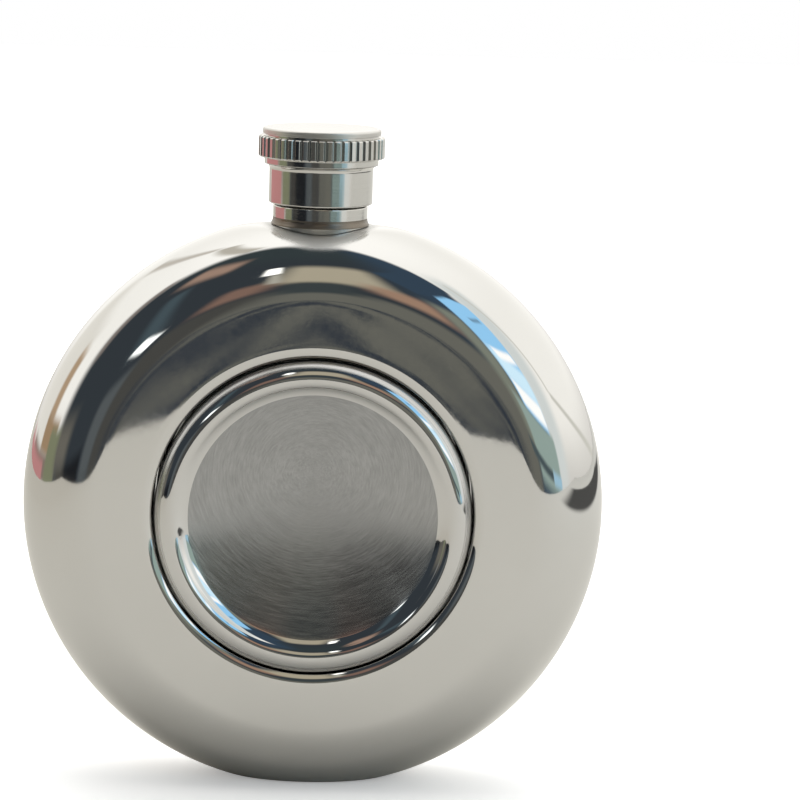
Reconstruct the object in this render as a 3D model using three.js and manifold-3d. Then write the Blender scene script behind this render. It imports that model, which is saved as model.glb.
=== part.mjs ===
// Round pocket flask of polished steel with a screw cap, and with a collapsible
// drinking cup kept in a well through its middle. Millimetres, +Z up. The flask
// stands on the small flat of its round edge, its front faces -Y, and the origin
// is the middle of that flat.

import * as THREE from 'three';
import { mergeVertices } from 'three/addons/utils/BufferGeometryUtils.js';
import Module from 'manifold-3d';

const wasm = await Module();
wasm.setup();

// Clearances
const FIXED_GAP = 0.15; // between pieces that are fixed to each other
const SEAT_GAP = 0.3; // between a loose piece and the seat it rests on
const CUP_CLEARANCE = 0.55; // round the cup in its well
const THREAD_CLEARANCE = 0.3; // between thread crest and thread root
const STAGE_CLEARANCE = 0.1; // between two drawn-out cup rings where they lock

// Body: two pressed shells that meet on the middle plane
const BODY_DIAMETER = 110;
const BODY_THICKNESS = 28.4; // the edge is a full round of half this
const SHELL_WALL = 0.8;
const BASE_FLAT_DEPTH = 1.9; // how deep the flat to stand on cuts the round edge
const SEAT_FLAT_DEPTH = 1.75; // how deep the flat under the neck cuts it
const HOLE_FILLET = 1.3; // rolled edge of the hole in each face
const FLANGE_DEPTH = 4.2; // turned-in flange of that hole, from the face

// Well: a tube from flange to flange, with a ring that stops the cup
const WELL_WALL = 0.8;
const STOP_RING_WIDTH = 2.5;
const STOP_RING_THICKNESS = 1;

// Cup: a beaded foot and four nested tapered rings
const CUP_DIAMETER = 59.4;
const CUP_PROUD = 2; // bead crest in front of the front face
const CUP_WALL = 0.6;
const BEAD_WIDTH = 3.2; // from the bead's crest to the foot's edge
const BEAD_FALL = 36; // slope from the bead down to the disc, in degrees
const DISC_DEPTH = 1.6; // edge of the bare disc below the bead's crest
const DISC_DISH = 1; // middle of the disc below its edge
const FOOT_DEPTH = 4.5; // from the bead's crest to the back of the foot
const RING_LENGTH = 16.5;
const RING_TAPER = 1.2; // growth of a ring's radius over its length
const STAGE_TRAVEL = 13; // how far each ring draws out of the next
const RING_NAMES = ['cup_rim_ring', 'cup_upper_ring', 'cup_lower_ring', 'cup_floor_ring'];

// Neck: a turned tube with a flared foot that reaches down to the flat and the round of the body
const NECK_BORE = 13.7;
const NECK_WALL = 0.8;
const NECK_INSERT = 2.75; // from the flat down to the tube's lower end
const COLLAR_REACH = 1.2; // from the tube out to the collar
const COLLAR_HEIGHT = 3.85; // from the flat up to the top of the collar
const COLLAR_CHAMFER = 0.3;
const FLARE_REACH = 0.32; // from the collar out to the flare's edge
const FLARE_THICKNESS = 0.2;
const FLARE_COVE = 1.2; // height of the slope from the flare in to the collar
const FLARE_UNDERCUT = 30; // slope from the flare's edge in to the round body, in degrees from upright
const NECK_RELIEF = 1.6; // plain stretch between collar and thread
const NECK_LIP = 1.7; // plain stretch above the thread

// Thread: one right-hand start
const THREAD_PITCH = 1.9;
const THREAD_DEPTH = 0.95;
const THREAD_BASE = 1; // width of the ridge at its root
const THREAD_CREST = 0.45; // width of the ridge at its crest
const NECK_TURNS = 3.25;
const CAP_TURNS = 2.5;

// Cap: turned, with a straight knurl, and a loose seal disc inside
const GASKET_THICKNESS = 1.3;
const CAP_WALL = 0.8;
const CAP_CROWN = 2.15;
const CAP_CHAMFER = 0.25;
const CAP_COVE = 1;
const CAP_LIP_REACH = 0.95; // from the skirt out to the lip under the knurl
const CAP_LIP_HEIGHT = 1.2;
const KNURL_REACH = 1.15; // from the lip out to the knurl's crests
const KNURL_DEPTH = 0.5;
const KNURL_HEIGHT = 4;
const KNURL_TEETH = 48;
const KNURL_CREST_SHARE = 0.36; // of one tooth's width
const KNURL_ROOT_SHARE = 0.3;
const CAP_GROOVE_HEIGHT = 0.35;
const CAP_GROOVE_DEPTH = 0.45;
const CAP_TOP_INSET = 0.75; // the top disc is this much smaller than the knurl
const CAP_TOP_HEIGHT = 1.15;
const CAP_TOP_ROUND = 0.5;

// Facets
const BODY_SIDES = 40;
const NECK_SIDES = 32;
const EDGE_STEPS = 6; // along a quarter of the body's round edge
const BEAD_STEPS = 5;
const DISC_STEPS = 4;
const FILLET_STEPS = 3;
const LIP_STEPS = 6;
const THREAD_RUN_OUT = 0.25; // turns over which a thread's end fades

const STEEL = new THREE.MeshStandardMaterial({ color: 0xc9c9c6, roughness: 0.08, metalness: 1 });
const SILICONE = new THREE.MeshStandardMaterial({ color: 0xe6e4dc, roughness: 0.6, metalness: 0 });

// Places that several pieces share
const bodyRadius = BODY_DIAMETER / 2;
const halfThickness = BODY_THICKNESS / 2;
const edgeCentreRadius = bodyRadius - halfThickness;
const centreHeight = bodyRadius - BASE_FLAT_DEPTH;
const seatHeight = centreHeight + bodyRadius - SEAT_FLAT_DEPTH;

const cupRadius = CUP_DIAMETER / 2;
const holeRadius = cupRadius + CUP_CLEARANCE;

const cupFront = -halfThickness - CUP_PROUD;
const discBack = cupFront + DISC_DEPTH + CUP_WALL;
const ringFront = discBack + SEAT_GAP;
const ringBack = ringFront + RING_LENGTH;
const stageStep = CUP_WALL + STAGE_TRAVEL * RING_TAPER / RING_LENGTH + STAGE_CLEARANCE;

const boreRadius = NECK_BORE / 2;
const tubeRadius = boreRadius + NECK_WALL;
const collarTop = seatHeight + COLLAR_HEIGHT;
const threadStart = collarTop + NECK_RELIEF;
const threadEnd = threadStart + NECK_TURNS * THREAD_PITCH + THREAD_BASE;
const neckTop = threadEnd + NECK_LIP;

const capBoreRadius = tubeRadius + THREAD_DEPTH + THREAD_CLEARANCE;
const skirtRadius = capBoreRadius + CAP_WALL;
const skirtBottom = collarTop + SEAT_GAP;
const gasketBottom = neckTop + SEAT_GAP;
const crownBottom = gasketBottom + GASKET_THICKNESS + FIXED_GAP;
const capTop = crownBottom + CAP_CROWN;

// Shape helpers

function point(radius, along) {
  return new THREE.Vector2(radius, along);
}

// Points on an arc in a turned profile, angles in degrees from the radial direction.
function arc(radius, along, size, from, to, steps) {
  return Array.from({ length: steps + 1 }, (_, step) => {
    const angle = THREE.MathUtils.degToRad(from + (to - from) * step / steps);
    return point(radius + size * Math.cos(angle), along + size * Math.sin(angle));
  });
}

// A closed mesh as a solid: shared vertices merged, empty triangles dropped, faces turned outward.
function solid(geometry) {
  const bare = geometry.clone();
  bare.deleteAttribute('normal');
  bare.deleteAttribute('uv');
  const merged = mergeVertices(bare, 1e-4);
  const corners = merged.getAttribute('position');
  const index = merged.getIndex().array;
  const triangles = [];
  let volume = 0;
  for (let at = 0; at < index.length; at += 3) {
    const [a, b, c] = index.slice(at, at + 3);
    if (a === b || b === c || c === a) continue;
    triangles.push([a, b, c]);
    const [pa, pb, pc] = [a, b, c].map((v) => new THREE.Vector3().fromBufferAttribute(corners, v));
    volume += pa.dot(pb.cross(pc));
  }
  const outward = volume > 0 ? triangles : triangles.map(([a, b, c]) => [a, c, b]);
  const mesh = new wasm.Mesh({
    numProp: 3,
    vertProperties: Float32Array.from(corners.array),
    triVerts: Uint32Array.from(outward.flat()),
  });
  return new wasm.Manifold(mesh);
}

// A profile turned about the body's own axis, which runs along Y at the centre height.
function turnedBody(profile) {
  const geometry = new THREE.LatheGeometry(profile, BODY_SIDES);
  return solid(geometry.translate(0, 0, centreHeight));
}

// A profile of radius and height turned about the upright axis of the neck.
function turnedUpright(profile) {
  const geometry = new THREE.LatheGeometry(profile, NECK_SIDES);
  return solid(geometry.rotateX(Math.PI / 2));
}

function closed(profile) {
  return [...profile, profile[0].clone()];
}

function disc(radius, bottom, top) {
  return turnedUpright([point(0, bottom), point(radius, bottom), point(radius, top), point(0, top)]);
}

function box(low, high) {
  const size = new THREE.Vector3().subVectors(high, low);
  const geometry = new THREE.BoxGeometry(size.x, size.y, size.z);
  const middle = low.clone().lerp(high, 0.5);
  return solid(geometry.translate(middle.x, middle.y, middle.z));
}

function mesh(name, shape, material) {
  const { vertProperties, triVerts } = shape.getMesh();
  const geometry = new THREE.BufferGeometry();
  geometry.setAttribute('position', new THREE.BufferAttribute(Float32Array.from(vertProperties), 3));
  geometry.setIndex(new THREE.BufferAttribute(Uint32Array.from(triVerts), 1));
  geometry.computeVertexNormals();
  const node = new THREE.Mesh(geometry, material);
  node.name = name;
  return node;
}

// Body shells

// The whole outside of the body as a solid, without its flats.
function bodySolid() {
  return turnedBody([
    point(0, -halfThickness),
    ...arc(edgeCentreRadius, 0, halfThickness, -90, 90, 2 * EDGE_STEPS),
    point(0, halfThickness),
  ]);
}

// The section of one shell: side -1 is the front one, +1 the rear one.
function shellProfile(side) {
  const face = halfThickness;
  const innerEdge = halfThickness - SHELL_WALL;
  const filletRadius = holeRadius + HOLE_FILLET;
  const innerFillet = HOLE_FILLET - SHELL_WALL;
  const profile = [
    point(holeRadius, face - FLANGE_DEPTH),
    ...arc(filletRadius, face - HOLE_FILLET, HOLE_FILLET, 180, 90, FILLET_STEPS),
    ...arc(edgeCentreRadius, 0, halfThickness, 90, 0, EDGE_STEPS),
    ...arc(edgeCentreRadius, 0, innerEdge, 0, 90, EDGE_STEPS),
    ...arc(filletRadius, face - HOLE_FILLET, innerFillet, 90, 180, FILLET_STEPS),
    point(holeRadius + SHELL_WALL, face - FLANGE_DEPTH),
  ];
  return closed(profile.map(({ x, y }) => point(x, side * y)));
}

function shell(side) {
  const nearY = Math.min(0, side * BODY_DIAMETER);
  const farY = Math.max(0, side * BODY_DIAMETER);
  const layer = (bottom, top) => box(
    new THREE.Vector3(-BODY_DIAMETER, nearY, bottom),
    new THREE.Vector3(BODY_DIAMETER, farY, top),
  );
  const wall = turnedBody(shellProfile(side)).intersect(layer(0, seatHeight));
  const base = bodySolid().intersect(layer(0, SHELL_WALL));
  const seat = bodySolid().intersect(layer(seatHeight - SHELL_WALL, seatHeight));
  const neckHole = disc(tubeRadius + FIXED_GAP, centreHeight + edgeCentreRadius, collarTop);
  return wall.add(base).add(seat).subtract(neckHole);
}

// Well

function wellTube() {
  const end = halfThickness - FLANGE_DEPTH - FIXED_GAP;
  const outer = holeRadius + WELL_WALL;
  return turnedBody(closed([
    point(holeRadius, -end),
    point(outer, -end),
    point(outer, end),
    point(holeRadius, end),
  ]));
}

function stopRing() {
  const front = ringBack + SEAT_GAP;
  const back = front + STOP_RING_THICKNESS;
  const outer = holeRadius - FIXED_GAP;
  const inner = outer - STOP_RING_WIDTH;
  return turnedBody(closed([
    point(inner, front),
    point(outer, front),
    point(outer, back),
    point(inner, back),
  ]));
}

// Cup

// A dished face, from its middle out to its edge.
function dishedFace(edgeRadius, edgeLevel) {
  return Array.from({ length: DISC_STEPS + 1 }, (_, step) => {
    const share = step / DISC_STEPS;
    return point(edgeRadius * share, edgeLevel + DISC_DISH * (1 - share * share));
  });
}

// One side of the foot's section, from the disc's middle over the bead's crest to the foot's edge.
function beadSide(size, discLevel) {
  const crest = cupRadius - BEAD_WIDTH;
  const round = arc(crest, cupFront + BEAD_WIDTH, size, 270 - BEAD_FALL, 360, 2 * BEAD_STEPS);
  const slope = Math.tan(THREE.MathUtils.degToRad(BEAD_FALL));
  const discEdge = round[0].x - (discLevel - round[0].y) / slope;
  return [...dishedFace(discEdge, discLevel), ...round];
}

// Stamped foot: a bead that slopes in to a dished disc, with a short skirt behind it.
function cupFoot() {
  const back = cupFront + FOOT_DEPTH;
  return turnedBody([
    ...beadSide(BEAD_WIDTH, cupFront + DISC_DEPTH),
    point(cupRadius, back),
    point(cupRadius - CUP_WALL, back),
    ...beadSide(BEAD_WIDTH - CUP_WALL, discBack).reverse(),
  ]);
}

// A tapered ring with its narrow end to the front; stage 0 is the rim ring, the widest.
function ringRadii(stage) {
  const back = cupRadius - CUP_WALL - stage * stageStep;
  return { front: back - RING_TAPER, back };
}

function openRing(stage) {
  const { front, back } = ringRadii(stage);
  return turnedBody(closed([
    point(front - CUP_WALL, ringFront),
    point(front, ringFront),
    point(back, ringBack),
    point(back - CUP_WALL, ringBack),
  ]));
}

// The rim ring ends in a rolled lip that runs in the well.
function rimRing() {
  const { front, back } = ringRadii(0);
  return turnedBody(closed([
    point(front - CUP_WALL, ringFront),
    point(front, ringFront),
    ...arc(back, ringBack - CUP_WALL, CUP_WALL, -90, 180, LIP_STEPS),
  ]));
}

// The narrowest ring has the cup's floor, which follows the foot's disc.
function floorRing(stage) {
  const { front, back } = ringRadii(stage);
  const floorFront = discBack + FIXED_GAP;
  return turnedBody([
    ...dishedFace(front, floorFront),
    point(back, ringBack),
    point(back - CUP_WALL, ringBack),
    ...dishedFace(front - CUP_WALL, floorFront + CUP_WALL).reverse(),
  ]);
}

function cupRing(name, stage) {
  if (stage === 0) return mesh(name, rimRing(), STEEL);
  if (stage === RING_NAMES.length - 1) return mesh(name, floorRing(stage), STEEL);
  return mesh(name, openRing(stage), STEEL);
}

// Thread

// A helical ridge that climbs one pitch a turn, from its root radius to its crest radius.
// It starts low on the side of +X and is sunk into the wall that carries it.
function helicalRidge({ root, crest, sink, middle, turns }) {
  const steps = Math.round(turns * NECK_SIDES);
  const runOut = THREAD_RUN_OUT * NECK_SIDES;
  const positions = [];
  const index = [];
  const flank = (THREAD_BASE - THREAD_CREST) / 2;
  const outward = Math.sign(crest - root);
  for (let step = 0; step <= steps; step += 1) {
    const angle = step / NECK_SIDES * 2 * Math.PI;
    const height = middle + step / NECK_SIDES * THREAD_PITCH;
    const rise = Math.min(1, step / runOut, (steps - step) / runOut);
    const top = root + (crest - root) * rise;
    const topHalf = THREAD_BASE / 2 - flank * rise;
    const section = [
      [root - outward * sink, -THREAD_BASE / 2],
      [root, -THREAD_BASE / 2],
      [top, -topHalf],
      [top, topHalf],
      [root, THREAD_BASE / 2],
      [root - outward * sink, THREAD_BASE / 2],
    ];
    for (const [radius, lift] of section) {
      positions.push(radius * Math.cos(angle), radius * Math.sin(angle), height + lift);
    }
  }
  const corners = positions.length / 3 / (steps + 1);
  for (let step = 0; step < steps; step += 1) {
    for (let corner = 0; corner < corners; corner += 1) {
      const a = step * corners + corner;
      const b = step * corners + (corner + 1) % corners;
      index.push(a, b, b + corners, a, b + corners, a + corners);
    }
  }
  for (let corner = 1; corner < corners - 1; corner += 1) {
    const last = steps * corners;
    index.push(0, corner + 1, corner, last, last + corner, last + corner + 1);
  }
  const geometry = new THREE.BufferGeometry();
  geometry.setAttribute('position', new THREE.Float32BufferAttribute(positions, 3));
  geometry.setIndex(index);
  return solid(geometry);
}

// Neck

// The body up to its seat, raised by the gap of a fixed joint.
function raisedBody() {
  const belowSeat = box(
    new THREE.Vector3(-BODY_DIAMETER, -BODY_DIAMETER, 0),
    new THREE.Vector3(BODY_DIAMETER, BODY_DIAMETER, seatHeight),
  );
  return bodySolid().intersect(belowSeat).translate([0, 0, FIXED_GAP]);
}

function neck() {
  const bottom = seatHeight - NECK_INSERT;
  const flareBottom = seatHeight + FIXED_GAP;
  const flareTop = flareBottom + FLARE_THICKNESS;
  const collarRadius = tubeRadius + COLLAR_REACH;
  const flareRadius = collarRadius + FLARE_REACH;
  const footHeight = (flareRadius - tubeRadius) / Math.tan(THREE.MathUtils.degToRad(FLARE_UNDERCUT));
  const foot = turnedUpright(closed([
    point(boreRadius, flareBottom - footHeight),
    point(tubeRadius, flareBottom - footHeight),
    point(flareRadius, flareBottom),
    point(flareRadius, flareTop),
    point(boreRadius, flareTop),
  ])).subtract(raisedBody());
  const tube = turnedUpright(closed([
    point(boreRadius, bottom),
    point(tubeRadius, bottom),
    point(tubeRadius, flareBottom),
    point(flareRadius, flareBottom),
    point(flareRadius, flareTop),
    point(collarRadius, flareTop + FLARE_COVE),
    point(collarRadius, collarTop - COLLAR_CHAMFER),
    point(collarRadius - COLLAR_CHAMFER, collarTop),
    point(tubeRadius, collarTop),
    point(tubeRadius, neckTop),
    point(boreRadius, neckTop),
  ]));
  const ridge = helicalRidge({
    root: tubeRadius,
    crest: tubeRadius + THREAD_DEPTH,
    sink: NECK_WALL / 2,
    middle: threadStart + THREAD_BASE / 2,
    turns: NECK_TURNS,
  });
  return tube.add(foot).add(ridge);
}

// Cap

function knurl(crestRadius, bottom) {
  const rootRadius = crestRadius - KNURL_DEPTH;
  const tooth = 2 * Math.PI / KNURL_TEETH;
  const corners = [
    [rootRadius, -0.5 + KNURL_ROOT_SHARE / 2],
    [crestRadius, -KNURL_CREST_SHARE / 2],
    [crestRadius, KNURL_CREST_SHARE / 2],
    [rootRadius, 0.5 - KNURL_ROOT_SHARE / 2],
  ];
  const outline = new THREE.Shape();
  const points = [];
  for (let number = 0; number < KNURL_TEETH; number += 1) {
    for (const [radius, share] of corners) {
      const angle = (number + share) * tooth;
      points.push(point(radius * Math.cos(angle), radius * Math.sin(angle)));
    }
  }
  outline.setFromPoints(points);
  const geometry = new THREE.ExtrudeGeometry(outline, { depth: KNURL_HEIGHT, bevelEnabled: false });
  return solid(geometry.translate(0, 0, bottom));
}

function cap() {
  const lipRadius = skirtRadius + CAP_LIP_REACH;
  const knurlRadius = lipRadius + KNURL_REACH;
  const topRadius = knurlRadius - CAP_TOP_INSET;
  const grooveTop = capTop - CAP_TOP_HEIGHT;
  const knurlTop = grooveTop - CAP_GROOVE_HEIGHT;
  const knurlBottom = knurlTop - KNURL_HEIGHT;
  const lipBottom = knurlBottom - CAP_LIP_HEIGHT;
  const skirtTop = lipBottom - CAP_COVE;
  const cove = arc(0, 0, 1, 180, 90, FILLET_STEPS).map(({ x, y }) => (
    point(lipRadius + CAP_LIP_REACH * x, skirtTop + CAP_COVE * y)
  ));
  const outside = turnedUpright([
    point(0, skirtBottom),
    point(skirtRadius - CAP_CHAMFER, skirtBottom),
    point(skirtRadius, skirtBottom + CAP_CHAMFER),
    ...cove,
    point(lipRadius, knurlTop),
    point(topRadius - CAP_GROOVE_DEPTH, knurlTop),
    point(topRadius - CAP_GROOVE_DEPTH, grooveTop),
    point(topRadius, grooveTop),
    ...arc(topRadius - CAP_TOP_ROUND, capTop - CAP_TOP_ROUND, CAP_TOP_ROUND, 0, 90, FILLET_STEPS),
    point(0, capTop),
  ]);
  const cavity = disc(capBoreRadius, skirtBottom, crownBottom);
  const ridge = helicalRidge({
    root: capBoreRadius,
    crest: tubeRadius + THREAD_CLEARANCE,
    sink: CAP_WALL / 2,
    middle: threadStart + (THREAD_BASE - THREAD_PITCH) / 2,
    turns: CAP_TURNS,
  });
  return outside.add(knurl(knurlRadius, knurlBottom)).subtract(cavity).add(ridge);
}

function capGasket() {
  return disc(capBoreRadius - SEAT_GAP, gasketBottom, gasketBottom + GASKET_THICKNESS);
}

const flask = new THREE.Group();
flask.add(
  mesh('front_shell', shell(-1), STEEL),
  mesh('rear_shell', shell(1), STEEL),
  mesh('well_tube', wellTube(), STEEL),
  mesh('well_stop_ring', stopRing(), STEEL),
  mesh('neck', neck(), STEEL),
  mesh('cap', cap(), STEEL),
  mesh('cap_gasket', capGasket(), SILICONE),
  mesh('cup_foot', cupFoot(), STEEL),
  ...RING_NAMES.map(cupRing),
);

export default flask;
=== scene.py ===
# Round pocket flask of mirror-polished steel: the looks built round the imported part.
# Metres, the same frame as the part: +Z up, the front with the cup's foot faces -Y.

import math

import bmesh
import bpy
import numpy as np
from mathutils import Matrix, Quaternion, Vector


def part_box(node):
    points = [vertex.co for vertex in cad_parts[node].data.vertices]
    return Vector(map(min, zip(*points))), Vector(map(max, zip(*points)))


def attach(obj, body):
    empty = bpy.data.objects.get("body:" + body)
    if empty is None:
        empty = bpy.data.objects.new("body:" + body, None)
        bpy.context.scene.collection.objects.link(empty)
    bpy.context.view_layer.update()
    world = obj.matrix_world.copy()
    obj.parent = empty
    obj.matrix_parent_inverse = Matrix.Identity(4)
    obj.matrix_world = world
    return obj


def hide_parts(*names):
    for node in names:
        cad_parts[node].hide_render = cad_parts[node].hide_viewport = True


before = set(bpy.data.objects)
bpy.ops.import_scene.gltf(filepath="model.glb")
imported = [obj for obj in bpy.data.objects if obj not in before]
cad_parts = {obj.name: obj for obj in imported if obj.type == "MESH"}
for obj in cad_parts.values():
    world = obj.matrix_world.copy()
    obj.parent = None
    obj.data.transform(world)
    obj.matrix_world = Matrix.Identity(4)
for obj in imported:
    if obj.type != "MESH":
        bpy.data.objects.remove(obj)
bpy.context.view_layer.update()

MM = 0.001


def corners_of(node):
    low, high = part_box(node)
    return low / MM, high / MM


# Places read from the frame, in millimetres
_, front_high = corners_of("front_shell")
_, rear_high = corners_of("rear_shell")
tube_low, tube_high = corners_of("well_tube")
stop_low, stop_high = corners_of("well_stop_ring")
foot_low, foot_high = corners_of("cup_foot")
neck_low, neck_high = corners_of("neck")
cap_low, cap_high = corners_of("cap")
gasket_low, gasket_high = corners_of("cap_gasket")

BODY_RADIUS = front_high.x
HALF_THICKNESS = rear_high.y
EDGE_CENTRE = BODY_RADIUS - HALF_THICKNESS
CENTRE_Z = (tube_low.z + tube_high.z) / 2
SEAT_Z = front_high.z
WELL_OUTER = tube_high.x
CUP_RADIUS = foot_high.x
CUP_FRONT = foot_low.y

# Sizes of the finish, in millimetres
FIXED_GAP = 0.15
SHELL_WALL = 0.8
WELL_WALL = 0.8
HOLE_RADIUS = WELL_OUTER - WELL_WALL
HOLE_FILLET = 1.3
LIP_CURVE = 4.0  # gentle curve of the hole's lip
LIP_TILT = 28.0  # degrees that it turns before the tight roll
LIP_ROLL = 0.2
LIP_REACH = 0.15  # from the hole's wall in to the roll
FLANGE_DEPTH = 4.2
SEAM_WIDTH = 0.12
SEAM_DEPTH = 0.05
BASE_BLEND = 0.6
SEAT_BLEND = 0.9
STOP_RING_WIDTH = 2.5
STOP_RING_ROUND = 0.3  # of its inner edges
CUP_WALL = 0.6
BEAD_WIDTH = 3.2
BEAD_FALL = 36.0  # degrees, mean slope from the bead down to the disc
BEAD_STEEP = 42.0  # degrees, the slope's steepest place, next to the crest
BEAD_INNER = 2.4  # the crest's radius on the disc's side
BEAD_POLISHED = 36.0  # degrees that the polish reaches over the bead's outer side
DISC_DEPTH = 1.6
DISC_DISH = 2.6
BRUSH_RISE = 8.0  # middle of the brush marks above the middle of the disc
RING_TAPER = 1.2
RING_BEVEL = 0.1
CUP_FLOOR_ROUND = 0.6  # of the corner between the cup's floor and wall
EDGE_ROUND = 0.2
EDGE_HOLD = 0.04  # extra ring beside a rounded edge, which keeps the next face straight
NECK_BORE = 6.85
NECK_TUBE = 7.65
NECK_BEVEL = 0.15  # of its lower end
COLLAR_ROUND = 0.3
RELIEF_ROUND = 0.25
COLLAR_RADIUS = 8.85
COLLAR_HEIGHT = 3.85
FLARE_RADIUS = 9.17
FLARE_THICKNESS = 0.2
FLARE_COVE = 1.2
FLARE_UNDERCUT = 30.0  # degrees from upright
FLARE_ROUND = 0.08
SOFT_REACH = 3.0  # from the flare out to where the body's full polish starts
NECK_HOLE = NECK_TUBE + FIXED_GAP
THREAD_PITCH = 1.9
THREAD_BASE = 1.0
THREAD_CREST = 0.45
THREAD_DEPTH = 0.95
THREAD_RUN_OUT = 0.25  # turns over which a ridge fades out
NECK_THREAD_ROW = 0.075  # between the rows of the mesh
CAP_THREAD_ROW = 0.09
NECK_RELIEF = 1.6
NECK_TURNS = 3.25
CAP_TURNS = 2.5
CAP_BORE = 8.9
CAP_RIDGE = 7.95
SKIRT_RADIUS = 9.7
SKIRT_ROUND = 0.25
LIP_RADIUS = 10.65
CAP_LIP_ROUND = 0.12
KNURL_CREST = 11.8
KNURL_ROOT = 11.3
KNURL_TEETH = 48
KNURL_COVE = 0.1  # between the lip and the knurl
KNURL_END = 0.3  # height of a tooth's rounded end
CAP_TOP_RADIUS = 11.05
CAP_TOP_HEIGHT = 1.15
GROOVE_HEIGHT = 0.35
KNURL_HEIGHT = 4.0
LIP_HEIGHT = 1.2
SKIRT_COVE = 1.0
CAP_TOP_ROUND = 0.4
CAP_TOP_UNDER = 0.1  # rounding of the top disc's lower edge
CROWN_ROUND = 0.3
CAP_BEVEL = 0.15
GROOVE_RADIUS = 10.6
CROWN_BOTTOM = gasket_high.z + FIXED_GAP
SEAL_RADIUS = gasket_high.x
SEAL_ROUND = 0.25
SEAL_STEP = 0.12  # height of the step round its middle

# Smoothness: sides of the turned pieces
BODY_SIDES = 256
CUP_SIDES = 224
NECK_SIDES = 160
HOLE_SIDES = 96


# Sections: lists of (radius, along) pairs

def arc(radius, along, size, start, end, steps):
    """Points on an arc, angles in degrees from the radial direction."""
    turns = np.radians(np.linspace(start, end, steps + 1))
    return [(radius + size * math.cos(t), along + size * math.sin(t)) for t in turns]


def line(start, end, steps):
    """Points after start up to end."""
    shares = [(step + 1) / steps for step in range(steps)]
    return [(start[0] + (end[0] - start[0]) * s, start[1] + (end[1] - start[1]) * s) for s in shares]


def rounded(corners, steps=5):
    """A closed section of (radius, along, rounding) corners, with each corner rounded."""
    points = []
    for index, (radius, along, rounding) in enumerate(corners):
        corner = np.array((radius, along))
        if rounding == 0:
            points.append(tuple(corner))
            continue
        before = np.array(corners[index - 1][:2]) - corner
        after = np.array(corners[(index + 1) % len(corners)][:2]) - corner
        before /= np.linalg.norm(before)
        after /= np.linalg.norm(after)
        half = math.acos(np.clip(before @ after, -1, 1)) / 2
        middle = corner + (before + after) / np.linalg.norm(before + after) * rounding / math.sin(half)
        start = corner + before * rounding / math.tan(half) - middle
        end = corner + after * rounding / math.tan(half) - middle
        first = math.atan2(start[1], start[0])
        sweep = (math.atan2(end[1], end[0]) - first + math.pi) % (2 * math.pi) - math.pi
        for step in range(steps + 1):
            turn = first + sweep * step / steps
            points.append((middle[0] + rounding * math.cos(turn), middle[1] + rounding * math.sin(turn)))
    return points


# Meshes

def grid_object(name, points, closed):
    """A surface through rows of points, each row a ring. Closed joins the last row to the first."""
    rows, sides, _ = points.shape
    faces = []
    for row in range(rows if closed else rows - 1):
        here = row * sides
        there = (row + 1) % rows * sides
        for side in range(sides):
            after = (side + 1) % sides
            faces.append((here + side, here + after, there + after, there + side))
    mesh = bpy.data.meshes.new(name)
    mesh.from_pydata((points.reshape(-1, 3) * MM).tolist(), [], faces)
    shape = bmesh.new()
    shape.from_mesh(mesh)
    bmesh.ops.remove_doubles(shape, verts=shape.verts, dist=2e-7)
    bmesh.ops.recalc_face_normals(shape, faces=shape.faces)
    shape.to_mesh(mesh)
    shape.free()
    mesh.update()
    thing = bpy.data.objects.new(name, mesh)
    bpy.context.scene.collection.objects.link(thing)
    return thing


def body_points(section, sides):
    """A section turned about the body's axis, which runs along Y at the centre height."""
    section = np.array(section)
    turns = np.linspace(0, 2 * math.pi, sides, endpoint=False)
    radius = section[:, :1]
    along = np.repeat(section[:, 1:], sides, axis=1)
    return np.stack([radius * np.sin(turns), along, CENTRE_Z + radius * np.cos(turns)], axis=-1)


def upright_points(radius, height, turns):
    """Rows of rings about the neck's axis. Radius and height are arrays of rows by turns."""
    return np.stack([radius * np.cos(turns), radius * np.sin(turns), height], axis=-1)


def smooth(thing, sharp_degrees=40):
    thing.data.shade_smooth()
    thing.data.set_sharp_from_angle(angle=math.radians(sharp_degrees))


def finish_piece(thing, body, nodes, materials, sharp_degrees=40):
    smooth(thing, sharp_degrees)
    for material in materials:
        thing.data.materials.append(material)
    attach(thing, body)
    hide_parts(*nodes)
    return thing


def cut(thing, cutter):
    """Cuts one closed mesh out of another and removes the cutter."""
    change = thing.modifiers.new("cut", "BOOLEAN")
    change.operation = "DIFFERENCE"
    change.solver = "EXACT"
    change.object = cutter
    bpy.context.view_layer.update()
    seen = thing.evaluated_get(bpy.context.evaluated_depsgraph_get())
    mesh = bpy.data.meshes.new_from_object(seen)
    thing.modifiers.clear()
    old = thing.data
    thing.data = mesh
    mesh.name = thing.name
    bpy.data.meshes.remove(old)
    bpy.data.objects.remove(cutter)


# Shapes that several pieces share

def soft_floor(height, floor, blend):
    """Height, not below the floor, with a soft corner."""
    reach = np.maximum(blend - np.abs(height - floor), 0) / blend
    return np.maximum(height, floor) + reach ** 2 * blend / 4


def between_flats(height, inset):
    """Height, kept between the flat to stand on and the flat under the neck."""
    standing = soft_floor(height, inset, BASE_BLEND)
    return -soft_floor(-standing, inset - SEAT_Z, SEAT_BLEND)


def body_top(across, along):
    """Height of the body's outside at places near the neck."""
    edge = EDGE_CENTRE + np.sqrt(HALF_THICKNESS ** 2 - along ** 2)
    return between_flats(CENTRE_Z + np.sqrt(edge ** 2 - across ** 2), 0)


def foot_edge(turns, widest, level):
    """Radius and height at which the slope under the neck's flare meets the body, with a narrow gap."""
    slope = math.tan(math.radians(FLARE_UNDERCUT))
    radius = widest * np.ones_like(turns)
    for _ in range(40):
        height = np.minimum(body_top(radius * np.cos(turns), radius * np.sin(turns)) + FIXED_GAP, level)
        radius = widest - (level - height) * slope
    return radius, height


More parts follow.
